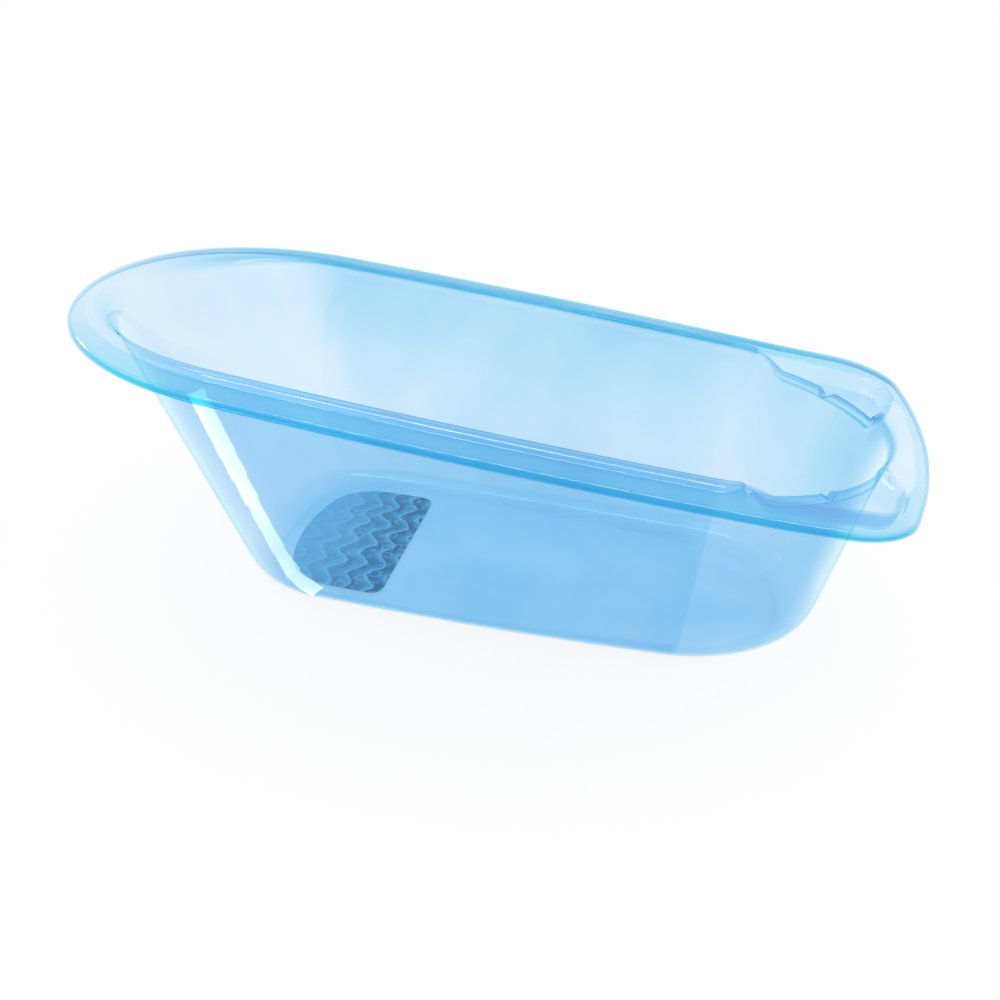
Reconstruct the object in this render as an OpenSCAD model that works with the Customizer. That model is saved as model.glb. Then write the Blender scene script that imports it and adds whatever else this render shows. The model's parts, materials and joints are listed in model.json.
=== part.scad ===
// Baby bathtub: one moulded shell with two soap dishes in its rim, and a printed film on its floor.
// The head end is at -X, the foot end at +X, and Z is up from the face that the tub rests on.

/* [Overall] */
// Length of the rim, from the head end to the foot end
length = 850; // [780:5:920]
// Width of the rim at its widest
width = 480; // [450:5:520]
// Height of the rim at the head end
height = 250; // [220:5:280]
// How far the rim falls from the head end to the foot end
rim_fall = 50; // [30:1:60]
// Thickness of the moulded wall
wall = 2.4; // [2:0.1:3]

/* [Rim] */
// Width of the flange beside the bath
flange_side = 53; // [48:1:58]
// Width of the flange at the head end
flange_head = 31; // [28:1:40]
// Width of the flange at the foot end
flange_foot = 35; // [30:1:40]
// How far the side flange falls to its outer edge
flange_fall = 1.6; // [1:0.2:3]
// How far the foot flange falls to its outer edge
foot_fall = 1.2; // [0.8:0.1:1.6]
// Share of the flange that is a raised shoulder round the opening
shoulder_share = 0.36; // [0.3:0.01:0.45]
// Rise of that shoulder above the rim's plane, beside the bath
shoulder_rise = 4; // [2:0.5:5]
// Step down from the rim's plane to the outer flange
shoulder_step = 1.2; // [0.5:0.1:1.6]
// Setback of the rounding where the wall rolls into the flange
roll = 8; // [6:0.5:10]
// Depth of the turned-down lip
lip = 9.5; // [7:0.5:12]
// Radius of the rounding where the flange turns down into the lip
lip_round = 3.5; // [3:0.5:5]
// Radius of the head end's middle, against a half round end
head_flat = 1.22; // [1:0.02:1.5]
// Radius of the head end's corners, against a half round end
head_corner = 0.88; // [0.7:0.02:1]
// Radius of the foot end's middle, against a half round end
foot_flat = 3.3; // [2:0.1:4]
// Radius of the foot end's corners, against a half round end
foot_corner = 0.32; // [0.25:0.01:0.5]

/* [Bath] */
// Width of the floor, to the corner with the walls
floor_width = 299; // [270:1:320]
// Length that the head wall slopes over, from the rim's end to the floor
head_run = 199; // [150:1:220]
// Length that the foot wall slopes over, from the rim's end to the floor
foot_run = 82; // [70:1:110]
// Radius of the middle of the floor's head end, against a half round end
floor_head_flat = 2.2; // [1:0.1:3]
// Radius of the corners of the floor's head end, against a half round end
floor_head_corner = 0.6; // [0.4:0.02:1]
// Setback of the rounding between floor and wall at the head end and sides
bottom_round = 20; // [14:1:26]
// Setback of the rounding between floor and wall at the foot end
bottom_round_foot = 31; // [20:1:40]

/* [Soap dishes] */
// Distance from the middle of the foot end's round to each dish's thin start
dish_start = 50; // [40:1:60]
// Flange left beside that thin start
dish_start_border = 52; // [50:1:54]
// Radius of that thin start
dish_start_round = 8; // [6:0.5:10]
// Flange left beside each dish at its wide end
dish_side_border = 64; // [60:1:72]
// Flange left between the dish's outer corner and the foot end
dish_corner_border = 35; // [32:1:42]
// Radius of that outer corner
dish_corner_round = 28; // [20:1:34]
// Flange left between the dish's foot corner and the foot end
dish_foot_border = 25; // [22:1:30]
// Distance of that foot corner from the tub's middle line
dish_foot_off = 112; // [104:1:118]
// Radius of that foot corner
dish_foot_round = 12; // [8:1:14]
// Flange left between the dish's last corner, beside the bath, and the foot end
dish_end_border = 45; // [42:1:48]
// Distance of that last corner from the tub's middle line
dish_end_off = 64; // [57:1:70]
// Radius of that last corner
dish_end_round = 9; // [7:0.5:11]
// Rounding between each dish's floor and its walls
dish_bottom_round = 3; // [2:0.5:4]
// Depth of each dish below the rim
dish_depth = 18; // [16:0.5:22]
// Depth of the dish's edge toward the bath, below the rim
dish_edge = 10.5; // [9.5:0.5:12]
// Length of the ramp where that edge comes down from the rim
dish_ramp = 30; // [20:1:36]
// Thickness of the dish's edge at the rim's opening
dish_edge_thick = 1.5; // [1:0.1:3]
// Radius of the drain notch in the dish's edge
notch_radius = 8; // [7:0.5:9]
// Depth of the notch's channel below the dish's floor
notch_sink = 0.4; // [0.2:0.1:1]
// Reach of the drain spout into the bath
spout = 5; // [3:0.5:8]
// Direction of the drain notch round the foot end
notch_angle = 47; // [42:1:54]

/* [Label] */
// Distance of the label's straight edge from the middle of the tub
label_edge = 79; // [60:1:100]
// Gap from the label to the flat floor's border
label_gap = 13; // [10:1:20]
// Radius of the label's two corners
label_corner = 14; // [6:1:20]
// Thickness of the label's film
label_thick = 0.3; // [0.2:0.05:0.5]

/* [Hidden] */

// Directions that every outline is sampled at: close together at its tips, then round its corners,
// then along its nearly straight sides, where a degree is a long way
tip_angles = [for (a = [0:2.5:10]) a];
corner_angles = [for (a = [15:5:85]) a];
side_angles = [for (a = [86:1:90]) a];
angles = concat(tip_angles, corner_angles, side_angles);
quarter_count = len(angles) - 1;

rim_half = width / 2;
rim_tip = length / 2;
side_radius = 9.4 * width;
rim_slope = rim_fall / length;
open_half = rim_half - flange_side;
open_head = rim_tip - flange_head;
open_foot = rim_tip - flange_foot;
floor_half = floor_width / 2;
floor_head = rim_tip - head_run;
floor_foot = rim_tip - foot_run;
round_end = [1, 1];

// Height of the rim's top over a place along the tub: a plane that reaches its full height at the head
function rim_z(x) = height - rim_slope * (x + open_head + roll);

// One end of an outline, seen from its widest place: an arc across the tip, a corner arc and the side's
// arc, each tangent to the next. The end is [share of a half round for the tip, and for the corner].
function half_round(run, half) = (half * (2 * side_radius - half) - run * run) / (2 * (side_radius - run));
function end_arcs(run, half, end) =
    let (
        tip_r = half_round(run, half) * end[0],
        corner_r = half_round(run, half) * end[1],
        tip_mid = [run - tip_r, 0],
        side_mid = [0, half - side_radius],
        apart = norm(side_mid - tip_mid),
        reach = tip_r - corner_r,
        along = (pow(reach, 2) - pow(side_radius - corner_r, 2) + pow(apart, 2)) / (2 * apart),
        across = sqrt(max(0, pow(reach, 2) - pow(along, 2))),
        way = (side_mid - tip_mid) / apart,
        corner_mid = tip_mid + along * way + across * [-way[1], way[0]],
        from_tip = corner_mid - tip_mid,
        from_side = corner_mid - side_mid
    )
    [
        [tip_mid, tip_r, reach < 0.01 ? 0 : atan2(from_tip[1], from_tip[0])],
        [corner_mid, corner_r, atan2(from_side[1], from_side[0])],
        [side_mid, side_radius, 90]
    ];
function on_arcs(arcs, a) =
    let (arc = a < arcs[0][2] ? arcs[0] : a < arcs[1][2] ? arcs[1] : arcs[2])
    arc[0] + arc[1] * [cos(a), sin(a)];

// A whole outline, counter-clockwise from its foot tip. Its points and the outward directions at them
// line up with those of every other outline.
function round_trip(quarter_foot, quarter_head) =
    let (n = quarter_count)
    concat(
        [for (i = [0:n - 1]) quarter_foot[i]],
        [for (i = [n:-1:1]) [-quarter_head[i][0], quarter_head[i][1]]],
        [for (i = [0:n - 1]) [-quarter_head[i][0], -quarter_head[i][1]]],
        [for (i = [n:-1:1]) [quarter_foot[i][0], -quarter_foot[i][1]]]
    );
function outline(head, foot, half, head_end, foot_end) =
    let (head_arcs = end_arcs(head, half, head_end), foot_arcs = end_arcs(foot, half, foot_end))
    round_trip([for (a = angles) on_arcs(foot_arcs, a)], [for (a = angles) on_arcs(head_arcs, a)]);

rim_line = outline(rim_tip, rim_tip, rim_half, [head_flat, head_corner], [foot_flat, foot_corner]);
open_line = outline(open_head, open_foot, open_half, round_end, round_end);
floor_line = outline(floor_head, floor_foot, floor_half, [floor_head_flat, floor_head_corner], round_end);
outward = let (q = [for (a = angles) [cos(a), sin(a)]]) round_trip(q, q);
count = len(outward);

function at_height(p, z) = [p[0], p[1], z];
function smooth(t) = let (u = min(1, max(0, t))) u * u * (3 - 2 * u);
function bend(a, b, c, t) = pow(1 - t, 2) * a + 2 * t * (1 - t) * b + pow(t, 2) * c;
function unit(v) = v / norm(v);

// The flange lies flat round the foot end and slopes outward elsewhere.
// Its shoulder rises beside the bath, and not at the two ends.
flat_from = open_foot - 0.6 * open_half;
function slopes_at(i) = 1 - smooth((rim_line[i][0] - flat_from) / (rim_tip * 0.16));
function rise_at(i) = shoulder_rise * slopes_at(i) * pow(outward[i][1], 2);

// The bath's inside and the rim's top as rings, from the floor's border up the wall and out to the lip
function floor_corner(i) = at_height(floor_line[i], wall);
function rim_corner(i) = at_height(open_line[i], rim_z(open_line[i][0]));
function up_wall(i) = unit(rim_corner(i) - floor_corner(i));
function floor_setback(i) =
    bottom_round + (bottom_round_foot - bottom_round) * smooth(floor_line[i][0] / floor_foot);
function bottom_ring(t) =
    [
        for (i = [0:count - 1])
            let (c = floor_corner(i), s = floor_setback(i))
            bend(c - s * at_height(outward[i], 0), c, c + s * up_wall(i), t)
    ];
function roll_ring(t) =
    [
        for (i = [0:count - 1])
            let (
                w = up_wall(i),
                c = rim_corner(i) + w * (rise_at(i) / w[2]),
                end = [c[0], c[1]] + roll * outward[i]
            )
            bend(c - roll * w, c, at_height(end, rim_z(end[0]) + rise_at(i)), t)
    ];
function flange_ring(share, fall, step, inset) =
    [
        for (i = [0:count - 1])
            let (
                p = open_line[i] + (rim_line[i] - open_line[i]) * share - outward[i] * inset,
                drop = foot_fall * fall + (flange_fall - foot_fall) * fall * slopes_at(i)
            )
            at_height(p, rim_z(p[0]) - drop - step * shoulder_step * slopes_at(i) + (1 - step) * rise_at(i))
    ];
function lip_ring(depth, inset) = [for (p = flange_ring(1, 1, 1, inset)) p - [0, 0, depth]];

top_rings = concat(
    [for (t = [0:0.2:1]) bottom_ring(t)],
    [for (t = [0:0.25:1]) roll_ring(t)],
    [flange_ring(shoulder_share, 0.15, 0, 0)],
    [flange_ring(shoulder_share + 0.05, 0.2, 1, 0)],
    [for (a = [0:30:90]) lip_ring(lip_round * (1 - cos(a)), lip_round * (1 - sin(a)))],
    [lip_ring(lip, 0)]
);

// The same rings set back into the wall, square to the surface
function around(i, by) = (i + by + count) % count;
function facing(rings, j, i) =
    j == 0 ? [0, 0, 1] :
    let (
        before = rings[j - 1][i],
        after = rings[min(j + 1, len(rings) - 1)][i],
        on_ring = rings[j][around(i, 1)] - rings[j][around(i, -1)]
    )
    unit(cross(after - before, on_ring));
function set_back(rings, by) =
    [
        for (j = [0:len(rings) - 1])
            [for (i = [0:count - 1]) rings[j][i] - by * facing(rings, j, i)]
    ];
function backward(list) = [for (i = [len(list) - 1:-1:0]) list[i]];

// A closed solid through rings of points, with its first and last ring capped
module skin(rings) {
    last = len(rings) - 1;
    sides = [
        for (j = [0:last - 1], i = [0:count - 1])
            let (
                a = j * count + i,
                b = j * count + around(i, 1),
                c = a + count,
                d = b + count
            )
            each [[a, b, c], [c, b, d]]
    ];
    first_cap = [for (i = [count - 1:-1:0]) i];
    last_cap = [for (i = [0:count - 1]) last * count + i];
    polyhedron([for (r = rings) each r], concat([first_cap], sides, [last_cap]));
}

module shell_plain() {
    skin(concat(top_rings, backward(set_back(top_rings, wall))));
}

// The bath's space up to the middle of its wall's thickness, and on above the rim
module bath_space() {
    above = height + roll;
    high_ring = [
        for (i = [0:count - 1])
            let (w = up_wall(i)) floor_corner(i) + w * ((above - wall) / w[2])
    ];
    wall_rings = concat([for (t = [0:0.2:1]) bottom_ring(t)], [high_ring]);
    skin(backward(set_back(wall_rings, wall / 2)));
}

// Work drawn here sits on the rim's sloping top
module on_rim() {
    multmatrix([[1, 0, 0, 0], [0, 1, 0, 0], [-rim_slope, 0, 1, rim_z(0)]]) children();
}

module both_sides() {
    children();
    mirror([0, 1, 0]) children();
}

// Plan of one dish: a wedge that starts thin beside the bath and ends wide at the foot flange
start_x = open_foot - open_half + dish_start;
module dish_plan(grow) {
    hull() {
        translate([start_x + dish_start_round, rim_half - dish_start_border - dish_start_round])
            circle(r = dish_start_round + grow, $fn = 32);
        translate([
            rim_tip - dish_corner_border - dish_corner_round,
            rim_half - dish_side_border - dish_corner_round
        ])
            circle(r = dish_corner_round + grow, $fn = 48);
        translate([rim_tip - dish_foot_border - dish_foot_round, dish_foot_off])
            circle(r = dish_foot_round + grow, $fn = 32);
        translate([rim_tip - dish_end_border - dish_end_round, dish_end_off])
            circle(r = dish_end_round + grow, $fn = 32);
    }
}

module slice(z) {
    translate([0, 0, z]) linear_extrude(height = 0.01) children();
}

// Solid that a dish is hollowed from: it ends inside the flange's thickness
module dish_block() {
    hull() {
        slice(-0.75 * wall) dish_plan(wall);
        slice(-dish_depth) dish_plan(wall - 1);
        slice(-dish_depth - wall) dish_plan(wall - 1 - dish_bottom_round);
    }
}

// Space in a dish and over it, with leaning walls
module dish_space() {
    hull() {
        slice(roll) dish_plan(0.5);
        slice(dish_bottom_round - dish_depth) dish_plan(-1);
        slice(-dish_depth) dish_plan(-1 - dish_bottom_round);
    }
}

// What stays of the bath's wall as the dish's edge: it comes down from the rim along a ramp
module dish_edge_wall() {
    low = -2 * dish_depth;
    intersection() {
        translate([0, 0, low])
            linear_extrude(height = 3 * dish_depth)
                polygon([for (i = [0:count - 1]) open_line[i] + dish_edge_thick * outward[i]]);
        rotate([90, 0, 0])
            linear_extrude(height = width, center = true)
                polygon([
                    [0, low],
                    [0, dish_depth],
                    [start_x, dish_depth],
                    [start_x, shoulder_rise],
                    [start_x + dish_ramp, -dish_edge],
                    [rim_tip, -dish_edge],
                    [rim_tip, low]
                ]);
    }
}

// A round bar across the dish's edge, from inside the bath to inside the dish
module across_edge(radius, from, to) {
    at_edge = on_arcs(end_arcs(open_foot, open_half, round_end), notch_angle);
    translate([at_edge[0], at_edge[1], notch_radius - dish_depth - notch_sink])
        rotate([0, 0, notch_angle])
            rotate([0, 90, 0])
                translate([0, 0, -from])
                    cylinder(r = radius, h = from + to, $fn = 40);
}

module tub_shell() {
    color([0.55, 0.82, 0.96, 0.7])
        difference() {
            union() {
                shell_plain();
                difference() {
                    both_sides() on_rim() dish_block();
                    bath_space();
                }
                both_sides()
                    on_rim() across_edge(notch_radius + wall, spout + dish_edge / 3, dish_edge_thick);
            }
            both_sides()
                on_rim() {
                    difference() {
                        dish_space();
                        dish_edge_wall();
                    }
                    across_edge(notch_radius, 4 * spout, 2 * notch_radius);
                }
        }
}

// Flat part of the floor, less a border
module floor_plan(border) {
    polygon([for (i = [0:count - 1]) floor_line[i] - (floor_setback(i) + border) * outward[i]]);
}

module floor_label() {
    color([0.3, 0.55, 0.75])
        translate([0, 0, wall])
            linear_extrude(height = label_thick)
                offset(r = label_corner, $fn = 48)
                    offset(delta = -label_corner)
                        intersection() {
                            floor_plan(label_gap);
                            translate([-length, -width]) square([length - label_edge, 2 * width]);
                        }
}

tub_shell();
floor_label();
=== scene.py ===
# %% [markdown]
# # A translucent baby bathtub
# The tub is one plastic moulding with a printed film on its floor. The CAD frame gives its size and place.
# Here the moulding is modelled again with round edges and smooth faces, because light passes through it
# and every facet would show. The printed film keeps its CAD shape and gets a printed finish.

import json
import math

import bmesh
import bpy
import numpy as np
from mathutils import Matrix, Vector

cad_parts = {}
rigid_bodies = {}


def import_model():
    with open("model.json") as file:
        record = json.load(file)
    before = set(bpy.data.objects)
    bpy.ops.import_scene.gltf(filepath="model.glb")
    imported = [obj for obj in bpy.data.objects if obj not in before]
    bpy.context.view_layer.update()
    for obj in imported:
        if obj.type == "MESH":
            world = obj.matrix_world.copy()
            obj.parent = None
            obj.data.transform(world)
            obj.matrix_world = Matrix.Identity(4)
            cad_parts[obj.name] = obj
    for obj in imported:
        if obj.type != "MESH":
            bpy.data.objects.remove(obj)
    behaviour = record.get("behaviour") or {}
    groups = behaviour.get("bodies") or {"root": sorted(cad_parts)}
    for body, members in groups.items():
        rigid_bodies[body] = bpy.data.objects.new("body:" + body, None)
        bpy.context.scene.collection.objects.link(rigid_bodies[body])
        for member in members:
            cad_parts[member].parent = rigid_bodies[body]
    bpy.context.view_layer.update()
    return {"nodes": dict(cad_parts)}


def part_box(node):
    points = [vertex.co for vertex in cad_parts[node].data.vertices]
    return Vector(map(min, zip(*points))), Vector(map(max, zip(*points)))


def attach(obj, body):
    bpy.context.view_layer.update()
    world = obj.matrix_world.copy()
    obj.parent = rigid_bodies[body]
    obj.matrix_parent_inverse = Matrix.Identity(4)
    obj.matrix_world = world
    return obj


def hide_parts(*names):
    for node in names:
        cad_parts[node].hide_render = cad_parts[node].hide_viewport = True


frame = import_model()
for thing in bpy.data.objects:
    thing.select_set(False)

# %% [markdown]
# ## The camera
# The photograph's view was worked out from the tub's outline: how far the camera turns, how steeply it
# looks down, how much it is tilted sideways, and how far away it stands. A camera could also track a
# target, but a target can't hold the sideways tilt, so the camera's axes go straight into its matrix.

# %% Place the camera
view_turn, view_fall, view_tilt = math.radians(8.949), math.radians(25.67), math.radians(5.465)
view_distance, view_target = 1.6323, Vector((-0.0081, 0.1476, 0.0))
level = math.cos(view_fall)
toward = Vector((math.sin(view_turn) * level, -math.cos(view_turn) * level, math.sin(view_fall)))
level_right = Vector((math.cos(view_turn), math.sin(view_turn), 0))
level_up = level_right.cross(-toward)
right = level_right * math.cos(view_tilt) + level_up * math.sin(view_tilt)
up = level_up * math.cos(view_tilt) - level_right * math.sin(view_tilt)

lens = bpy.data.cameras.new("camera")
lens.sensor_width, lens.lens, lens.clip_end = 36.0, 50.71, 50.0
camera = bpy.data.objects.new("camera", lens)
bpy.context.scene.collection.objects.link(camera)
axes = Matrix((right, up, toward)).transposed()
camera.matrix_world = Matrix.Translation(view_target + toward * view_distance) @ axes.to_4x4()
bpy.context.scene.camera = camera
print("camera stands at", [round(v, 3) for v in camera.matrix_world.translation])

# %% [markdown]
# ## The tub's driving sizes
# Length, width and height are read from the frame. They could be typed in, but then the two models might
# drift apart. The other sizes are those of the moulding: its flange, its roundings and how far its walls
# slope. All are in metres.

# %% Name the sizes
shell_low, shell_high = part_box("tub_shell")
length, width, height = shell_high - shell_low
rim_fall, wall = 0.050, 0.0024
flange_side, flange_head, flange_foot = 0.053, 0.031, 0.035
flange_fall, foot_fall = 0.0016, 0.0012
shoulder_share, shoulder_rise, shoulder_step = 0.36, 0.004, 0.0012
roll, lip, lip_round = 0.008, 0.0080, 0.0045
floor_width, head_run, foot_run = 0.299, 0.199, 0.082
bottom_round, bottom_round_foot = 0.020, 0.031

rim_half, rim_tip = width / 2, length / 2
open_half, open_head, open_foot = rim_half - flange_side, rim_tip - flange_head, rim_tip - flange_foot
floor_half, floor_head, floor_foot = floor_width / 2, rim_tip - head_run, rim_tip - foot_run
side_flatness = 9.4
side_radius = side_flatness * width
rim_slope = rim_fall / length
print(f"rim {length:.3f} x {width:.3f} m, {height:.3f} m high, falling {rim_fall:.3f} m to the foot end")


# %% [markdown]
# ## Three outlines
# Seen from above, the tub is three outlines: the rim's edge, the opening and the floor. Each end of an
# outline is a wide arc, two corner arcs and the side's very flat arc, each running smoothly into the next,
# as a pattern maker draws them with a compass. A curve traced by hand would be quicker, but it would
# wobble, and a glossy wall shows each wobble.

# %% Draw one end of an outline
def end_arcs(run, half, tip_share, corner_share):
    """Centre, radius and last direction of the tip's, the corner's and the side's arc."""
    half_round = (half * (2 * side_radius - half) - run * run) / (2 * (side_radius - run))
    tip_r, corner_r = half_round * tip_share, half_round * corner_share
    tip_mid, side_mid = np.array([run - tip_r, 0]), np.array([0, half - side_radius])
    apart = np.linalg.norm(side_mid - tip_mid)
    reach = tip_r - corner_r
    along = (reach**2 - (side_radius - corner_r) ** 2 + apart**2) / (2 * apart)
    aside = math.sqrt(max(0, reach**2 - along**2))
    way = (side_mid - tip_mid) / apart
    corner_mid = tip_mid + along * way + aside * np.array([-way[1], way[0]])
    from_tip, from_side = corner_mid - tip_mid, corner_mid - side_mid
    tip_last = 0 if reach < 1e-5 else math.atan2(from_tip[1], from_tip[0])
    corner_last = math.atan2(from_side[1], from_side[0])
    return (tip_mid, tip_r, tip_last), (corner_mid, corner_r, corner_last), (side_mid, side_radius, math.pi)


def on_arcs(arcs, direction):
    """The point whose outward direction is the one given."""
    mid, radius, _ = next(arc for arc in arcs if direction < arc[2])
    return mid + radius * np.array([math.cos(direction), math.sin(direction)])


rim_ends = end_arcs(rim_tip, rim_half, 1.22, 0.88), end_arcs(rim_tip, rim_half, 3.3, 0.32)
open_ends = end_arcs(open_head, open_half, 1, 1), end_arcs(open_foot, open_half, 1, 1)
floor_ends = end_arcs(floor_head, floor_half, 2.2, 0.6), end_arcs(floor_foot, floor_half, 1, 1)
foot_mid, foot_radius = open_ends[1][0][0][0], open_ends[1][0][1]
print(f"the opening's foot end is a half round of radius {foot_radius:.4f} m")

# %% [markdown]
# ## The soap dishes in plan
# Each dish is a wedge with round corners: thin where it starts beside the bath, wide at the foot flange.
# It is the tight band round four circles. For such a shape, the distance to its border is the least of its
# distances to the lines that touch it, so one short formula tells how deep inside the dish a point lies.

# %% Measure the distance to a dish's border
dish_circles = np.array(
    [
        (open_foot - open_half + 0.058, rim_half - 0.060, 0.008),
        (rim_tip - 0.063, rim_half - 0.092, 0.028),
        (rim_tip - 0.048, 0.103, 0.022),
        (rim_tip - 0.061, 0.070, 0.016),
    ]
)


def touching_lines(first, last):
    """Outward directions from first to last, in degrees, and how far out the dish reaches in each."""
    turns = np.radians(np.linspace(first, last, 181))
    ways = np.stack([np.cos(turns), np.sin(turns)])
    return ways, (dish_circles[:, :2] @ ways + dish_circles[:, 2:]).max(0)


def inside_dish(plan, lines):
    """How far inside the dish on its own side each point in plan lies: less than nothing is outside."""
    ways, reach = lines
    return (reach - np.stack([plan[:, 0], np.abs(plan[:, 1])], 1) @ ways).min(1)


all_lines = touching_lines(-180, 180)
outer_lines = touching_lines(0, 100)
end_lines = touching_lines(-45, -12)
start_x = float(dish_circles[0, 0] - dish_circles[0, 2])
foot_sweep = np.linspace(5, 45, 4001)
sweep_points = np.array([on_arcs(open_ends[1], math.radians(a)) for a in foot_sweep])
end_wall_at = float(foot_sweep[np.argmax(inside_dish(sweep_points, end_lines) > 0)])
start_wall_at = math.degrees(math.acos((start_x - foot_mid) / foot_radius))
print(f"a dish runs from {end_wall_at:.1f} to {start_wall_at:.1f} degrees round the foot end")

# %% [markdown]
# ## Stations round the tub
# The shell is pulled up ring by ring, and each ring has a point at every station. Stations stand close
# together where the shape turns fast: at both ends of the dishes and at the drain notch. A dense grid all
# over would also do, but it would spend most of its points on straight walls.

# %% Set out the stations
notch_at, notch_half, spout_reach = 47.0, 0.0105, 0.008
near_wall = np.arange(-1.2, 3.5, 0.3)

# Directions in degrees, from the foot end's tip to the side and on to the head end's tip.
foot_part = np.concatenate(
    [
        np.arange(0, end_wall_at - 1.6, 1.0),
        end_wall_at + near_wall,
        np.arange(end_wall_at + 3.9, notch_at - 5.4, 0.5),
        np.arange(notch_at - 5.2, notch_at + 5.3, 0.4),
        np.arange(notch_at + 6, start_wall_at - 4, 0.9),
        start_wall_at - near_wall[::-1],
        np.arange(start_wall_at + 2, 85.5, 0.9),
        np.arange(86, 90, 0.25),
    ]
)
head_part = np.concatenate([np.arange(90, 86, -0.25), np.arange(86, 0.5, -1.25)])
directions = np.concatenate([foot_part, head_part, [0], head_part[::-1], foot_part[:0:-1]])
count, half_count = len(directions), len(foot_part) + len(head_part)
order = np.arange(count)
at_foot = (order < len(foot_part)) | (order > count - len(foot_part))
corner = np.stack([np.where(at_foot, 1, -1), np.where(order <= half_count, 1, -1)], 1)
print(count, "stations, of which", int(at_foot.sum()), "are at the foot end")

# %% Find each outline's points at the stations
turn = np.radians(directions)


def facing_out(turns):
    return np.stack([np.cos(turns), np.sin(turns)], 1) * corner


def outline(ends, turns):
    return np.array([on_arcs(ends[int(foot)], t) for foot, t in zip(at_foot, turns)]) * corner


def straight_across(i):
    """Direction of the rim's point that lies square across the flange from the opening's point."""
    here, way, low, high = opening[i] * corner[i], outward[i] * corner[i], 0.0, math.pi / 2
    for _ in range(50):
        middle = (low + high) / 2
        there = on_arcs(rim_ends[int(at_foot[i])], middle) - here
        before = way[0] * there[1] < way[1] * there[0]
        low, high = (middle, high) if before else (low, middle)
    return (low + high) / 2


outward = facing_out(turn)
opening, bath_floor = outline(open_ends, turn), outline(floor_ends, turn)
rim_turn = np.array([straight_across(i) for i in range(count)])
beside_dish = at_foot & (directions < 60)
last_turn = math.degrees(rim_turn[np.argmin(np.where(at_foot & ~beside_dish, directions, 99))])
from_opening, to_rim = [0, end_wall_at, 30, 45, 60], [0, 11.5, 20, 36, last_turn]
rim_turn[beside_dish] = np.radians(np.interp(directions[beside_dish], from_opening, to_rim))
rim, rim_outward = outline(rim_ends, rim_turn), facing_out(rim_turn)
print(f"the opening is {np.ptp(opening[:, 0]):.3f} m long and {np.ptp(opening[:, 1]):.3f} m wide")


# %% [markdown]
# ## The shell's inside, as it would be without dishes
# From the floor's border, the surface goes round into the wall, straight up it, over a round edge, across
# the flange with its raised shoulder, and down the lip. Each line round the tub on this way is one ring. A
# profile swept round the rim would be the usual way, but here the profile changes from place to place.

# %% Helpers for rings
def smooth(share):
    share = np.clip(share, 0, 1)
    return share * share * (3 - 2 * share)


def unit(vectors):
    return vectors / np.linalg.norm(vectors, axis=-1, keepdims=True)


def each(value):
    return np.broadcast_to(value, (count,))


def at_height(plan, z):
    return np.concatenate([plan, each(z)[:, None]], 1)


def below_rim(plan, depth):
    """Points this far below the rim's plane, which slopes down from the head end to the foot end."""
    return at_height(plan, height - rim_slope * (plan[:, 0] + open_head + roll) - depth)


def bend(a, b, c, share):
    """A point on the round corner from a to c that b is the sharp corner of."""
    return (1 - share) ** 2 * a + 2 * share * (1 - share) * b + share**2 * c


print(f"the rim's plane slopes {math.degrees(math.atan(rim_slope)):.1f} degrees")

# %% Floor and wall rings
film_gap, floor_margin, low_wall_top = 0.00002, 0.003, 0.034
floor_corner, rim_corner = at_height(bath_floor, wall - film_gap), below_rim(opening, 0)
up_wall = unit(rim_corner - floor_corner)
setback = bottom_round + (bottom_round_foot - bottom_round) * smooth(bath_floor[:, :1] / floor_foot)
border = floor_corner - setback * at_height(outward, 0)
floor_rings = [border - floor_margin * at_height(outward, 0)]
wall_foot_ring = floor_corner + setback * up_wall
floor_rings += [bend(border, floor_corner, wall_foot_ring, t) for t in np.linspace(0, 1, 9)]

# The round foot end starts with a faint crease in the wall.
crease_at, crease_reach, crease_height = 82.0, 9.0, 0.0008
crease = np.clip(1 - np.abs(directions - crease_at) / crease_reach, 0, 1) * at_foot * crease_height


def on_wall(depth):
    """Points of the wall's inside, this far below the rim."""
    return rim_corner - up_wall * (each(depth) / up_wall[:, 2])[:, None]


wall_start = floor_rings[-1]
low_rings = []
for t in (0.2, 0.4, 0.6, 0.8, 1):
    ring = wall_start + (on_wall(low_wall_top) - wall_start) * t
    low_rings.append(ring + at_height(outward, 0) * (crease * math.sin(math.pi * min(t, 0.8)))[:, None])
lean = np.degrees(np.arccos(up_wall[:, 2]))
print(f"walls lean {lean.min():.1f} to {lean.max():.1f} degrees")

# %% Ways across the flange
square_start, square_foot, square_before, square_over = 0.001, 0.009, 1.3, 5
before_end_wall = smooth((end_wall_at - square_before - directions) / square_over)
first_square = np.where(at_foot, square_start + square_foot * before_end_wall, square_start)
turned = opening + outward * first_square[:, None]
ray = unit(rim - turned)
squareness = (ray * outward).sum(1)
flange_width = first_square + np.linalg.norm(rim - turned, axis=1)


def across(way):
    """Places in plan this far along each station's way from the opening to the rim's edge."""
    near = np.minimum(each(way), first_square)
    return opening + outward * near[:, None] + ray * (each(way) - near)[:, None]


def square_way(distance):
    """The way along each station that gives this distance square to the opening."""
    near = np.minimum(each(distance), first_square)
    return near + (each(distance) - near) / squareness


def border_way(level):
    """The way along each station to where the dish's outer border is this far off."""
    low, high = np.zeros(count), flange_width.copy()
    for _ in range(40):
        middle = (low + high) / 2
        before = -inside_dish(across(middle), outer_lines) < level
        low, high = np.where(before, middle, low), np.where(before, high, middle)
    return (low + high) / 2


print(f"the flange is {flange_width.min():.3f} to {flange_width.max():.3f} m wide")

# %% [markdown]
# ## Where the shoulder ends
# Beside the bath, the flange is a raised shoulder and then a lower band. At the foot end the same border
# line runs on as the outer wall of the soap dish. Two sets of rings could follow them, but they would have
# to be stitched together, so one set follows both.

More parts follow.
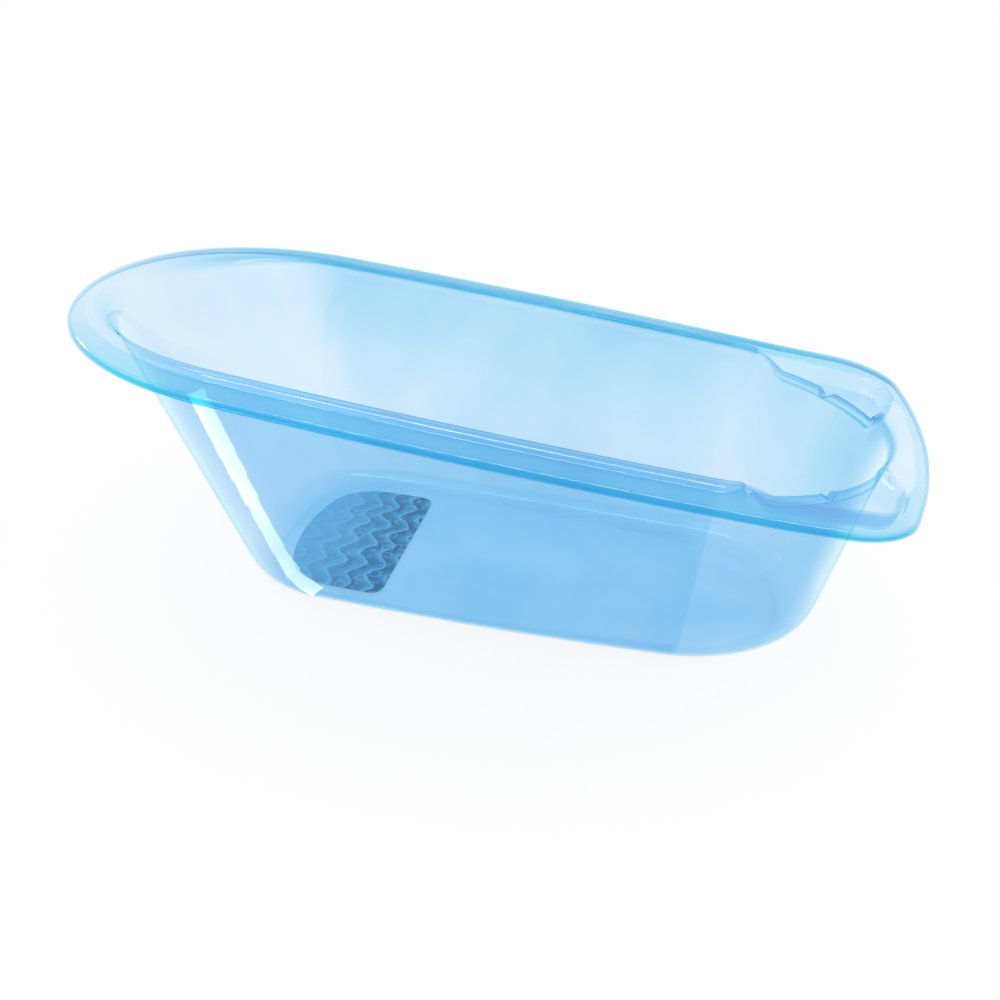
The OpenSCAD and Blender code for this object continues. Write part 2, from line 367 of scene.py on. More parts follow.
# %% Follow the shoulder's border and the dish's outer wall
head_down, head_out, rise_out = 0.012, 0.005, 0.3
head_share = smooth((-outward[:, 0] - 0.1) / 0.8)
roll_down, roll_out = roll + head_down * head_share, roll + head_out * head_share
beside_bath = outward[:, 1] ** 2
flat_start, flat_over = open_foot - 0.6 * open_half, rim_tip * 0.16
flat_share = smooth((rim[:, 0] - flat_start) / flat_over)
rise = shoulder_rise * (1 - flat_share) * beside_bath
roll_way, outer_end = square_way(roll_out + rise * rise_out), flange_width - lip_round
in_dish = at_foot & (directions > end_wall_at - 0.01) & (directions < start_wall_at + 0.01)
dish_border = border_way(0.0)
border_at_start = dish_border[np.argmax(np.where(in_dish, directions, 0))]
border_at_end = dish_border[np.argmin(np.where(in_dish, directions, 99))]
shoulder_end = np.maximum(flange_width * shoulder_share, (roll_way + outer_end) / 2)
shoulder_end += (flange_width * shoulder_share - shoulder_end) * beside_bath
join_over, join_from, dish_middle = 6, 8, 45
near_start = at_foot * (1 - smooth((directions - start_wall_at) / join_over))
near_end = at_foot * smooth((directions - join_from) / (end_wall_at - join_from))
to_start = np.where(directions > dish_middle, (border_at_start - shoulder_end) * near_start, 0)
to_end = np.where(directions < dish_middle, (border_at_end - shoulder_end) * near_end, 0)
shoulder_end = np.where(in_dish, dish_border, shoulder_end + to_start + to_end)

# Levels are distances from the border, squeezed where the flange has no room for them.
levels = [-0.0078, -0.0062, -0.0046, -0.003, -0.0014, 0.0, 0.0014]
past_border, spare = 0.0042, 0.001
outer_room = (outer_end - spare - shoulder_end) / (levels[-1] + past_border)
inner_room = (shoulder_end - roll_way - spare) / -levels[0]
squeeze = np.where(in_dish, 1, np.clip(np.minimum(outer_room, inner_room), 0.2, 1))


def border_ring_way(level):
    return np.where(in_dish, border_way(level), shoulder_end + level * squeeze)


level_ways = [border_ring_way(level) for level in levels]
print(f"a dish is up to {dish_border[in_dish].max():.3f} m wide")

# %% Heights across the flange
fall_start, inner_fall = 0.15, 0.15
step_before, step_over, dish_over = 0.003, 0.008, 0.014
full_fall = foot_fall + (flange_fall - foot_fall) * (1 - flat_share)
full_step = shoulder_step * (1 - flat_share) * beside_bath
into_dish = np.where(in_dish, smooth((opening[:, 0] - start_x) / dish_over), 0)
shoulder_top = rise * (1 - into_dish)


def flange_depth(way):
    """How far the flange lies below the rim's plane: its shoulder lies above it."""
    share = each(way) / flange_width
    inner = np.clip((share - fall_start) / (shoulder_share - fall_start), 0, 1) * inner_fall
    outer = np.clip((share - shoulder_share) / (1 - shoulder_share), 0, 1) * (1 - inner_fall)
    stepped = smooth((each(way) - shoulder_end + step_before) / step_over)
    return full_fall * (inner + outer) + (full_step + shoulder_top) * stepped - shoulder_top


def on_flange(way):
    return below_rim(across(way), flange_depth(way))


print(f"the shoulder stands {rise.max() * 1000:.1f} mm above the rim's plane")

# %% Roll, flange and lip rings
raised_corner = rim_corner + up_wall * (rise / up_wall[:, 2])[:, None]
roll_start = raised_corner - up_wall * roll_down[:, None]
roll_end = below_rim(raised_corner[:, :2] + outward * roll_out[:, None], flange_depth(roll_way))
roll_rings = [bend(roll_start, raised_corner, roll_end, t) for t in np.linspace(0, 1, 20)]
roll_depth = roll_down * up_wall[:, 2] - rise
high_depths = [0.028, 0.0245, 0.0223, 0.0206, 0.0185, 0.016, 0.0135]
high_rings = []
for n, depth in enumerate(high_depths):
    lowest = roll_depth + spare * (len(high_depths) - n)
    high_rings.append(on_wall(np.maximum(depth, lowest)))

ring_gap, lip_edge, lip_bevel = 0.0004, 0.0007, 0.0002
shoulder_rings = [on_flange(roll_way + (level_ways[0] - roll_way) * t) for t in (0.3, 0.6, 0.9)]
shoulder_rings += [on_flange(np.maximum(way, roll_way + ring_gap * n)) for n, way in enumerate(level_ways)]
outer_start = level_ways[-1] + past_border * squeeze
outer_rings = [on_flange(level_ways[-1] + more * squeeze) for more in (0.0012, 0.0024, past_border)]
outer_rings += [on_flange(outer_start + (outer_end - outer_start) * t) for t in (0.35, 0.7)]


def lip_ring(depth, inset):
    return below_rim(rim - rim_outward * inset, full_fall + full_step + depth)


bends = np.radians(np.linspace(0, 90, 15))
lip_rings = [lip_ring(lip_round * (1 - math.cos(a)), lip_round * (1 - math.sin(a))) for a in bends]
lip_rings += [lip_ring(lip * t, 0) for t in (0.58, 0.7, 0.83)]
lip_rings += [lip_ring(lip - lip_edge, 0), lip_ring(lip - lip_bevel, lip_bevel), lip_ring(lip, lip_edge)]
wall_part = floor_rings + low_rings + high_rings
inside = np.array(wall_part + roll_rings + shoulder_rings + outer_rings + lip_rings)
first_high = len(floor_rings) + len(low_rings)
first_roll = first_high + len(high_rings)
first_outer = first_roll + len(roll_rings) + len(shoulder_rings)
print(len(inside), "rings from the floor to the lip")

# %% [markdown]
# ## The underside
# A moulding has nearly the same thickness all over, so its underside is the inside set back by the wall. A
# Solidify modifier would do that too, but it would run into itself in the thin edge between dish and bath,
# and overlapping faces show as dark lines in a see-through wall.

# %% Set the rings back by the wall
along = np.gradient(inside, axis=0)
round_about = np.roll(inside, -1, 1) - np.roll(inside, 1, 1)
underside = inside - wall * unit(np.cross(along, round_about))
underside[:2, :, 2] = 0.0
wall_offset = underside[first_high] - inside[first_high]
print(f"the underside lies {underside[:, :, 2].min():.5f} m up at its lowest")

# %% [markdown]
# ## Sinking the soap dishes
# Each dish is a pocket in the flange, shallow where it starts and deeper toward the foot end. Its edge
# toward the bath comes down along a ramp, and a round notch with a short spout drains it. A boolean cut
# would leave thin slivers along its edges. Here the rings that are there already move down into the pocket.

# %% Depths in a dish
dish_depth, dish_edge, dish_ramp, dish_wall = 0.018, 0.0105, 0.030, 0.0020
floor_slope, soft_start, soft_edge, soft_end = 0.75, 0.001, 0.008, 0.5


def inward(gap):
    """How much of its depth a dish has this far inside its border: its wall is round at top and bottom."""
    return smooth((gap + soft_start) / soft_edge)


def dish_floor(plan, grown=0.0):
    """Depth of the dish's floor: it slopes down from the thin start and rises to the end wall."""
    sloping = dish_depth * np.clip(floor_slope * (plan[:, 0] - start_x) / dish_depth, 0.02, 1)
    return sloping * inward(soft_end * (inside_dish(plan, end_lines) + grown))


def pocket_depth(plan, grown=0.0):
    return dish_floor(plan, grown) * inward(inside_dish(plan, all_lines) + grown)


beside_notch = np.where(at_foot, np.abs(turn - math.radians(notch_at)) * foot_radius, 1.0)
in_notch = np.cos(np.clip(beside_notch / notch_half, 0, 1) * math.pi / 2) ** 2
ramp_share = np.clip((opening[:, 0] - start_x) / dish_ramp, 0, 1)
edge_depth = dish_edge * ramp_share - rise * (1 - ramp_share)
edge_depth = edge_depth + (dish_depth - edge_depth) * in_notch
edge_depth = np.minimum(edge_depth, pocket_depth(opening + outward * 0.001)) * in_dish
print(f"the dish's edge lies {edge_depth.max():.4f} m down at its notch")


# %% The wall toward the bath, with the spout on it
spout_thick, spout_side, round_from, round_over = 0.0028, 0.004, 0.006, 0.030


def bath_side(depth):
    """Points of the wall this far below the rim: the spout stands out of it as a short curved lip."""
    plain = on_wall(depth)
    spout = at_height(opening - outward * spout_reach, plain[:, 2])
    thick_enough = smooth((spout_thick - (depth - edge_depth)) / (spout_thick / 2))
    wide_enough = smooth((notch_half - beside_notch) / spout_side)
    return plain + (spout - plain) * (thick_enough * wide_enough)[:, None]


# The edge is as round as the rim where it starts, and thin from the ramp's end on.
still_round = 1 - smooth((opening[:, 0] - start_x - round_from) / round_over)
round_share = still_round * in_dish
thin_bath, more_bath, thin_edge, more_edge = 0.0009, 0.0055, 0.0005, 0.0045
bath_round, edge_round = thin_bath + more_bath * round_share, thin_edge + more_edge * round_share
dish_inside = inside.copy()
for n, depth in enumerate(high_depths):
    lowest = edge_depth + bath_round + ring_gap * (len(high_depths) - n)
    dish_inside[first_high + n] = bath_side(np.maximum(depth, lowest))
for n, (down, out) in enumerate(((1, 0), (0.28, 0.25), (0, 1))):
    sideways = at_height(outward * (edge_round * out)[:, None], 0)
    dish_inside[first_roll + n] = bath_side(edge_depth + bath_round * down) + sideways
print("the edge is", round(float(edge_round.max()) * 1000, 1), "mm round where it starts")

# %% The dish's floor and outer wall
least_step, past_last = 0.0003, 0.0009


def keep_order(ways, last):
    """Keeps the rings in their order where the dish is too narrow for all of them."""
    for n in range(1, len(ways)):
        ways[n] = np.maximum(ways[n], ways[n - 1] + least_step)
    return [np.minimum(way, last - least_step * (len(ways) - 1 - n)) for n, way in enumerate(ways)]


def between(first, last, pieces):
    """Ways for this many more rings, evenly between the first way and the last."""
    return [first + (last - first) * (n + 1) / (pieces + 1) for n in range(pieces)]


edge_steps = [(0.0005, 0.0), (0.0010, 0.03), (0.0015, 0.2), (0.0023, 0.6), (0.0035, 0.9), (0.0057, 1.0)]
ways = [square_way(edge_round + more * (1 + round_share)) for more, _ in edge_steps]
spare_rings = first_outer - first_roll - 3 - len(ways) - len(level_ways)
ways += between(ways[-1], level_ways[0], spare_rings) + level_ways
for n, way in enumerate(keep_order(ways, level_ways[-1] + past_last)):
    plan, lowest = across(way), dish_depth
    if n < len(edge_steps):
        lowest = edge_depth + (np.maximum(dish_floor(plan), edge_depth) - edge_depth) * edge_steps[n][1]
    if n > 1:
        lowest = np.maximum(np.minimum(lowest, pocket_depth(plan)), flange_depth(way))
    dish_inside[first_roll + 3 + n] = below_rim(plan, lowest)
print("dish rings", first_roll, "to", first_outer - 1)

# %% The dish's underside
hollow_reach = 0.007
edge_top = np.where(in_dish, edge_depth, -rise)
base = pocket_depth(opening, wall) + dish_wall
hollow = still_round * np.maximum(base - edge_top - wall, 0)
base = base - hollow
dish_under = underside.copy()
for n, lower in enumerate((0.0106, 0.0081, 0.0061, 0.0046, 0.0036, 0.0028, 0.0022, 0.0016, 0.001)):
    dish_under[first_high + n] = on_wall(base + lower) + wall_offset
wall_foot = (((on_wall(base) + wall_offset)[:, :2] - opening) * outward).sum(1)
under_steps = np.array([0.0007, 0.0016, 0.0026, 0.0038, 0.0052, 0.0068])
ways = [square_way(wall_foot + step * (1 + round_share)) for step in under_steps]
under_levels = (-0.0062, -0.0045, -0.0028, -0.0011, 0.0006, 0.0020, 0.0034, 0.0044, 0.0050)
last_ways = [border_ring_way(level) for level in under_levels]
spare_rings = first_outer - first_roll - len(ways) - len(last_ways)
ways += between(ways[-1], last_ways[0], spare_rings) + last_ways
for n, way in enumerate(keep_order(ways, last_ways[-1])):
    plan = across(way)
    raised = hollow * (1 - smooth(under_steps[n] / hollow_reach)) if n < len(under_steps) else 0
    sunk = np.maximum(pocket_depth(plan, wall) - raised, flange_depth(way))
    dish_under[first_roll + 2 + n] = below_rim(plan, sunk + (wall if n > len(ways) - 3 else dish_wall))
print(f"the dish's underside is up to {base[in_dish].max():.4f} m below the rim")

# %% Join the plain rings and the dish's rings
past_wall = np.where(at_foot, np.minimum(inside_dish(opening, end_lines), opening[:, 0] - start_x), -1.0)
full_join, under_join = 0.006, 0.0016
edge_share = smooth((edge_depth + rise) / full_join) * in_dish
pocket_share = smooth(dish_depth * inward(past_wall) / full_join) * in_dish
under_share = smooth((past_wall + wall) / under_join)
ring_share = np.zeros((len(inside), count))
ring_share[first_high : first_roll + 6] = edge_share
ring_share[first_roll + 6 : first_roll + 8] = pocket_share
ring_share[first_roll + 8 : first_outer] = in_dish
inside = inside + (dish_inside - inside) * ring_share[:, :, None]
under_part = np.zeros(len(inside))
under_part[first_high : first_outer + 2] = 1
underside = underside + (dish_under - underside) * under_part[:, None, None] * under_share[None, :, None]
print("joined", int(in_dish.sum()), "stations with dishes")

# %% [markdown]
# ## Pulling up the shell
# The modelling starts from a flat disc the shape of the floor. Its border is extruded ring after ring up
# the wall, over the rim, round the lip and back along the underside, as a potter pulls up a bowl, and the
# last ring is filled. Each point keeps the numbers of its station and ring, so that every extruded ring
# knows where to go.

# %% Extrude the rings
bpy.ops.mesh.primitive_circle_add(vertices=count, radius=floor_half, fill_type="NGON")
shell = bpy.context.object
shell.name = shell.data.name = "tub_moulding"
bpy.ops.object.mode_set(mode="EDIT")
bpy.ops.mesh.select_mode(type="EDGE")
mesh = bmesh.from_edit_mesh(shell.data)
station, ring_number = mesh.verts.layers.int.new("station"), mesh.verts.layers.int.new("ring")
by_turn = sorted(mesh.verts, key=lambda v: math.atan2(v.co.y, v.co.x) % (2 * math.pi))
for n, vert in enumerate(by_turn):
    vert[station] = n
    vert.co = inside[0, n]


def pull_ring(number, ring):
    """Extrudes the selected border and takes its new points to their places."""
    bpy.ops.mesh.extrude_edges_indiv()
    mesh = bmesh.from_edit_mesh(shell.data)
    station, ring_number = mesh.verts.layers.int["station"], mesh.verts.layers.int["ring"]
    for vert in mesh.verts:
        if vert.select:
            vert.co = ring[vert[station]]
            vert[ring_number] = number


bpy.ops.mesh.select_all(action="DESELECT")
for edge in mesh.edges:
    edge.select = True
bmesh.update_edit_mesh(shell.data)
for number, ring in enumerate([*inside[1:], *underside[::-1]], 1):
    pull_ring(number, ring)
bpy.ops.mesh.edge_face_add()
bpy.ops.mesh.select_all(action="SELECT")
bpy.ops.mesh.normals_make_consistent(inside=False)
bpy.ops.object.mode_set(mode="OBJECT")
print(len(shell.data.vertices), "points,", len(shell.data.polygons), "faces")

# %% Smooth the faces and put the shell in the CAD node's place
sharp_angle = math.radians(42)
bpy.ops.object.shade_smooth_by_angle(angle=sharp_angle)
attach(shell, "root")
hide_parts("tub_shell")
print("shell size", [round(v, 4) for v in shell.dimensions])

# %% [markdown]
# ## Where the blue is painted deeper or paler
# Light runs along inside a moulding and leaves at its edges, and each part of the tub catches light in its
# own way. Here that light and shade is painted into the blue, on top of the plastic's own colour: the lip
# and the roll at the top of the wall are painted as deep blue lines, the flange beside the bath is painted
# deep too, as shade, and the sloping head end is painted palest, as if lit. A texture could paint that, but
# the rings already know where they are. So each point keeps its own share of painted shade, from nothing to
# one.

# %% Walls and floor
# Painted light and shade on the walls: the lower walls and the head end are painted paler, as if lit, and
# the floor's rounding, its border and the top of the foot wall are painted darker, as shade.
wall_blue, low_blue, floor_blue, head_blue, foot_blue = 0.52, 0.30, 0.50, 0.20, 0.47
foot_top_blue, border_blue, fillet_blue = 0.36, 0.08, 0.12
front_crease_blue, back_crease_blue = 0.20, 0.02
foot_share = smooth(outward[:, 0])
down = np.clip((height - rim_fall / 2 - inside[:first_roll, :, 2]) / (height - rim_fall), 0, 1)
wall_shade = wall_blue + (low_blue - wall_blue) * smooth(1.2 * down)
wall_shade += (head_blue - wall_shade) * smooth(-2.2 * outward[:, 0])
wall_shade += (foot_blue - wall_shade) * foot_share
wall_shade += foot_top_blue * foot_share * smooth(1 - 3 * down) * ~in_dish
on_floor = np.linspace(1, 0, len(floor_rings))[:, None]
wall_shade[: len(floor_rings)] += (floor_blue - wall_shade[: len(floor_rings)]) * on_floor
wall_shade[1] += border_blue
wall_shade[2 : len(floor_rings) - 2] += fillet_blue * beside_bath
past_crease = (directions < crease_at) & at_foot
# Past the crease the round foot end is painted paler, a painted light: strong on the near side, faint on
# the far.
wall_shade -= np.where(opening[:, 1] < 0, front_crease_blue, back_crease_blue) * past_crease * beside_bath
print(f"the walls are {wall_shade.min():.2f} to {wall_shade.max():.2f} deep blue")

# %% Roll and crown
# Painted shade: the roll at the top of the wall and the crown are painted deep blue, deepest in the middle
# of the roll beside the bath, and the far side is painted deeper still.
end_blue, crown_blue, roll_blue, far_blue = 0.17, 0.37, 0.52, 0.12
foot_roll = 0.6
first_crown = first_roll + len(roll_rings)
beside_only = beside_bath * (1 - flat_share)
far_side = far_blue * smooth(1.5 * outward[:, 1]) * (1 - flat_share)
crown = end_blue + (crown_blue - end_blue) * beside_only + far_side
over = np.linspace(0, 1, len(roll_rings))[:, None]
roll_shade = wall_shade[-1] + (crown - wall_shade[-1]) * smooth(over)
roll_shade += roll_blue * np.maximum(beside_only, foot_roll * foot_share) * np.sin(math.pi * over) ** 2
inner_shade = np.zeros((len(inside), count))
inner_shade[:first_roll] = wall_shade
inner_shade[first_roll:first_crown] = roll_shade
inner_shade[first_crown:first_outer] = crown
print(f"the roll is up to {roll_shade.max():.2f} deep blue, the crown up to {crown.max():.2f}")

# %% Dishes, flange and lip
# Painted light and shade: a dish's pocket is painted paler than the flange, as if lit, the near dish paler
# and the far one deeper; its end wall and its thin edge toward the bath are painted deeper, as shade. The
# flange beside the bath is painted deep, the far side deeper, and the lip deepest a little below its
# rounding, with a pale line along its lowest edge as a painted highlight.
dish_blue, dish_end_blue, edge_blue, flange_blue, foot_flange_blue = 0.34, 0.15, 0.50, 0.70, 0.18
end_wall_reach, front_dish_blue, back_dish_blue = 0.020, -0.08, 0.03
first_lip = first_outer + len(outer_rings)
dish_shade = dish_end_blue * smooth(1 - past_wall / end_wall_reach)
dish_shade = dish_blue + (dish_shade + np.where(opening[:, 1] < 0, front_dish_blue, back_dish_blue))
inner_shade[first_roll:first_outer] += (dish_shade - inner_shade[first_roll:first_outer]) * in_dish
inner_shade[first_roll + 1 : first_roll + 5] += edge_blue * in_dish * (1 - round_share)
flange_shade = end_blue + foot_flange_blue * foot_share + (flange_blue - end_blue) * beside_bath + far_side
lip_blue = np.append(np.linspace(0, 0.35, len(bends)), (0.5, 0.45, 0.3, 0.2, 0.1, 0.0))
inner_shade[first_outer:first_lip] = flange_shade
inner_shade[first_lip:] = flange_shade + lip_blue[:, None]
print(f"deep blue on {np.mean(inner_shade > 0.5):.0%} of the points")

# %% [markdown]
# ## Shares for the finish
# Three more shares tell the finish which part of the moulding it is on: how much of a point is wall, how
# much is rim, and how glossy it is. The bath's inside is duller than its outside, as on a tub that has been
# wiped many times. Vertex groups could hold them, but a shader reads a plain attribute in one node.

# %% Work out the shares and keep them in attributes
inner_gloss = 0.4
on_walls, on_rim = np.zeros((2, len(inside), count))
on_walls[: len(floor_rings)] = np.linspace(0, 1, len(floor_rings))[:, None] ** 2
on_walls[len(floor_rings) : first_roll] = 1
on_rim[first_roll:first_crown] = smooth(3 * over - 2)
on_rim[first_crown:] = 1
on_rim *= smooth(1.3 * beside_bath**2)
glossy = np.ones((len(inside), count))
glossy[:first_crown] = inner_gloss
shares = {"painted_shade": inner_shade, "on_walls": on_walls, "on_rim": on_rim, "glossy": glossy}
numbers = {}
for name in ("station", "ring"):
    numbers[name] = np.zeros(len(shell.data.vertices), int)
    shell.data.attributes[name].data.foreach_get("value", numbers[name])
for name, inner in shares.items():
    outer = np.ones_like(inner) if name == "glossy" else inner[::-1]
    values = np.concatenate([inner, outer])[numbers["ring"], numbers["station"]]
    attribute = shell.data.attributes.new(name, "FLOAT", "POINT")
    attribute.data.foreach_set("value", values.astype(np.float32))
for name in numbers:
    shell.data.attributes.remove(shell.data.attributes[name])
print("attributes", sorted(shares))


# %% [markdown]
# ## Moulding marks
# No moulding is perfectly even. Slow flow leaves soft clouds in the colour, and polishing leaves faint
# waves that break up the reflections. Each finish could have noises of its own, but one node group serves
# both and keeps them alike.

# %% Helpers for nodes
def feed(tree, node, inputs):
    """Links other nodes' outputs to a node's inputs, or writes plain numbers and colours into them."""
    for name, value in inputs.items():
        if isinstance(value, bpy.types.NodeSocket):
            tree.links.new(value, node.inputs[name])
        else:
            node.inputs[name].default_value = value


def add_node(tree, kind, inputs=(), **settings):
    node = tree.nodes.new(kind)
    for name, value in settings.items():
        setattr(node, name, value)
    feed(tree, node, dict(inputs))
    return node


def add_math(tree, operation, *values):
    return add_node(tree, "ShaderNodeMath", enumerate(values), operation=operation).outputs[0]


print("node helpers ready, Blender", bpy.app.version_string)

# %% Make the node group
marks = bpy.data.node_groups.new("moulding_marks", "ShaderNodeTree")
marks.interface.new_socket("Size", in_out="INPUT", socket_type="NodeSocketFloat")
for name in ("Clouds", "Waves"):
    marks.interface.new_socket(name, in_out="OUTPUT", socket_type="NodeSocketFloat")
marks_in = add_node(marks, "NodeGroupInput")
marks_out = add_node(marks, "NodeGroupOutput")
marks_place = add_node(marks, "ShaderNodeTexCoord").outputs["Object"]


def marks_noise(times, detail, target):
    """Adds a noise that is this many times finer than the group's size."""
    scale = add_math(marks, "MULTIPLY", marks_in.outputs["Size"], times)
    inputs = {"Scale": scale, "Detail": detail, "Vector": marks_place}
    noise = add_node(marks, "ShaderNodeTexNoise", inputs)
    feed(marks, marks_out, {target: noise.outputs["Fac"]})


marks_noise(1.0, 3.0, "Clouds")
marks_noise(2.2, 1.0, "Waves")
print("group", marks.name, "with", len(marks.nodes), "nodes")


# %% [markdown]
# ## The plastic
# The tub is clear plastic with a blue dye. Rendered as thick glass, a thin shell shows black lines wherever
# light is caught inside its edges. So here light passes nearly straight through, a clear coat gives the
# gloss, and a little dye in the volume deepens long ways through it. The blue itself is mixed by the share
# of painted shade that each point keeps, painted light and shade over the plastic's own blue: one row of
# blues for walls and floor, and a greener one for the rim.

# %% Helpers for materials
def new_material(name):
    material = bpy.data.materials.new(name)
    material.use_nodes = True
    nodes = material.node_tree.nodes
    return material, material.node_tree, nodes["Principled BSDF"], nodes["Material Output"]


def mix_colours(tree, share, first, second):
    inputs = {"Factor": share, "A": first, "B": second}
    return add_node(tree, "ShaderNodeMix", inputs, data_type="RGBA").outputs["Result"]


def soft_step(tree, value, start, end, first=0.0, last=1.0):
    """Goes softly from the first to the last number while the value goes from start to end."""
    inputs = {"Value": value, "From Min": start, "From Max": end, "To Min": first, "To Max": last}
    step = add_node(tree, "ShaderNodeMapRange", inputs, interpolation_type="SMOOTHSTEP")
    return step.outputs["Result"]


def colour_ramp(tree, place, stops):
    """Puts colours at their places along a ramp."""
    ramp = add_node(tree, "ShaderNodeValToRGB", {"Fac": place})
    elements = ramp.color_ramp.elements
    while len(elements) < len(stops):
        elements.new(0.5)
    for element, (position, colour) in zip(elements, stops):
        element.position = position
        element.color = (*colour, 1)
    return ramp.outputs["Color"]


def kept_share(tree, name):
    """The share that the shell's points keep under this name."""
    return add_node(tree, "ShaderNodeAttribute", attribute_name=name).outputs["Fac"]


def add_bump(tree, height, strength, distance):
    inputs = {"Height": height, "Strength": strength, "Distance": distance}
    return add_node(tree, "ShaderNodeBump", inputs).outputs["Normal"]


print("material helpers ready")

# %% Clear body, coat and dye
plastic, tree, surface, output = new_material("blue_clear_plastic")
feed(tree, surface, {"IOR": 1.002, "Transmission Weight": 1.0, "Coat IOR": 1.49, "Coat Roughness": 0.02})
dye = add_node(tree, "ShaderNodeVolumeAbsorption", {"Color": (0.04, 0.80, 0.94, 1), "Density": 16.0})
feed(tree, output, {"Volume": dye.outputs["Volume"]})
print("plastic", plastic.name)

# %% The blue, cloudy and by place
flow = add_node(tree, "ShaderNodeGroup", {"Size": 6.0}, node_tree=marks)
cloud_strength = 0.55
clouds = add_math(tree, "SUBTRACT", flow.outputs["Clouds"], 0.5)
clouds = add_math(tree, "MULTIPLY", clouds, cloud_strength)
depth = add_math(tree, "ADD", kept_share(tree, "painted_shade"), clouds)
pale = (0.885, 0.922, 1.0)
wall_blues = [(0.485, 0.762, 0.955), (0.29, 0.635, 0.88), (0.03, 0.43, 0.75)]
rim_blues = [(0.485, 0.785, 0.968), (0.27, 0.75, 0.915), (0.04, 0.62, 0.84)]
ramp_places = (0, 0.5, 0.75, 1)
wall_tint = colour_ramp(tree, depth, list(zip(ramp_places, [pale, *wall_blues])))
rim_tint = colour_ramp(tree, depth, list(zip(ramp_places, [pale, *rim_blues])))
tint = mix_colours(tree, kept_share(tree, "on_rim"), wall_tint, rim_tint)
print("a row of", len(ramp_places), "blues for the walls and one for the rim")

# %% [markdown]
# ## Painted sheen at a glance
# Where the eye only grazes a wall, it sees mostly scattered light, and the outline of the tub goes soft and
# nearly white. That light is painted here: the walls' blue is mixed toward white at grazing places, a
# painted sheen. A rough surface would do that too, but it would also blur all that is seen through the
# wall. Layer
# Weight finds the grazing places, and the walls' own share keeps the rim out of it.

# %% Painted sheen on the walls, gloss and waves
sheen_white = (0.97, 0.99, 1, 1)
grazing_start, grazing_end = 0.5, 0.86
rough_swing, least_rough, streak_gain, streak_start = 0.06, 0.02, 2.4, -0.4
wave_strength, wave_depth = 0.25, 0.004
grazing = add_node(tree, "ShaderNodeLayerWeight", {"Blend": 0.5})
painted_sheen = soft_step(tree, grazing.outputs["Facing"], grazing_start, grazing_end)
painted_sheen = add_math(tree, "MULTIPLY", painted_sheen, kept_share(tree, "on_walls"))
colour = mix_colours(tree, painted_sheen, tint, sheen_white)
roughness = add_math(tree, "MULTIPLY_ADD", flow.outputs["Clouds"], rough_swing, least_rough)
streaks = add_math(tree, "MULTIPLY_ADD", flow.outputs["Clouds"], streak_gain, streak_start)
streaks.node.use_clamp = True
streaks = add_math(tree, "MULTIPLY", streaks, kept_share(tree, "glossy"))
bump = add_bump(tree, flow.outputs["Waves"], wave_strength, wave_depth)
feed(tree, surface, {"Base Color": colour, "Roughness": roughness, "Coat Weight": streaks, "Normal": bump})
shell.data.materials.clear()
shell.data.materials.append(plastic)
print("plastic of", len(tree.nodes), "nodes on", shell.name)

# %% [markdown]
# ## The printed film
# A printed film lies on the floor at the head end. Its print here is an old sort of pattern: bands of waves
# with pale crests, and bubbles between them. An image would be the usual way to print it. Bands and rings
# worked out from the place on the film need no file, and stay sharp at any distance.

# %% Wave bands
film = frame["nodes"]["floor_label"]
print_film, tree, surface, output = new_material("printed_film")
place = add_node(tree, "ShaderNodeTexCoord").outputs["Object"]
parts = add_node(tree, "ShaderNodeSeparateXYZ", {"Vector": place})
film_marks = add_node(tree, "ShaderNodeGroup", {"Size": 25.0}, node_tree=marks)
wave_length, band_width, wave_height = 0.046, 0.021, 0.3
swing = add_math(tree, "MULTIPLY", parts.outputs["Y"], 2 * math.pi / wave_length)
bands = add_math(tree, "MULTIPLY", parts.outputs["X"], 1 / band_width)
bands = add_math(tree, "MULTIPLY_ADD", add_math(tree, "SINE", swing), wave_height, bands)
bands = add_math(tree, "FRACT", add_math(tree, "ADD", bands, film_marks.outputs["Clouds"]))
deep_wave, mid_wave = (0.002, 0.11, 0.27), (0.012, 0.25, 0.47)
pale_wave, crest = (0.07, 0.43, 0.68), (0.26, 0.64, 0.86)
wave_stops = [(0, deep_wave), (0.45, mid_wave), (0.8, pale_wave), (0.87, crest), (0.93, pale_wave)]
waves = colour_ramp(tree, bands, wave_stops)
print(f"bands {band_width * 1000:.0f} mm wide, a wave every {wave_length * 1000:.0f} mm")


# %% Bubbles
def bubble_rings(per_metre, radius, line):
    """A mask of thin rings, one in each cell of the film."""
    inputs = {"Scale": per_metre, "Vector": place}
    cells = add_node(tree, "ShaderNodeTexVoronoi", inputs, voronoi_dimensions="2D")
    off_ring = add_math(tree, "ABSOLUTE", add_math(tree, "SUBTRACT", cells.outputs["Distance"], radius))
    return add_math(tree, "LESS_THAN", off_ring, line)


bubble_white, bubble_ink = (0.36, 0.63, 0.78, 1), 0.6
bubbles = add_math(tree, "MAXIMUM", bubble_rings(34, 0.2, 0.025), bubble_rings(75, 0.16, 0.04))
printed = mix_colours(tree, add_math(tree, "MULTIPLY", bubbles, bubble_ink), waves, bubble_white)
print("large and small bubbles")

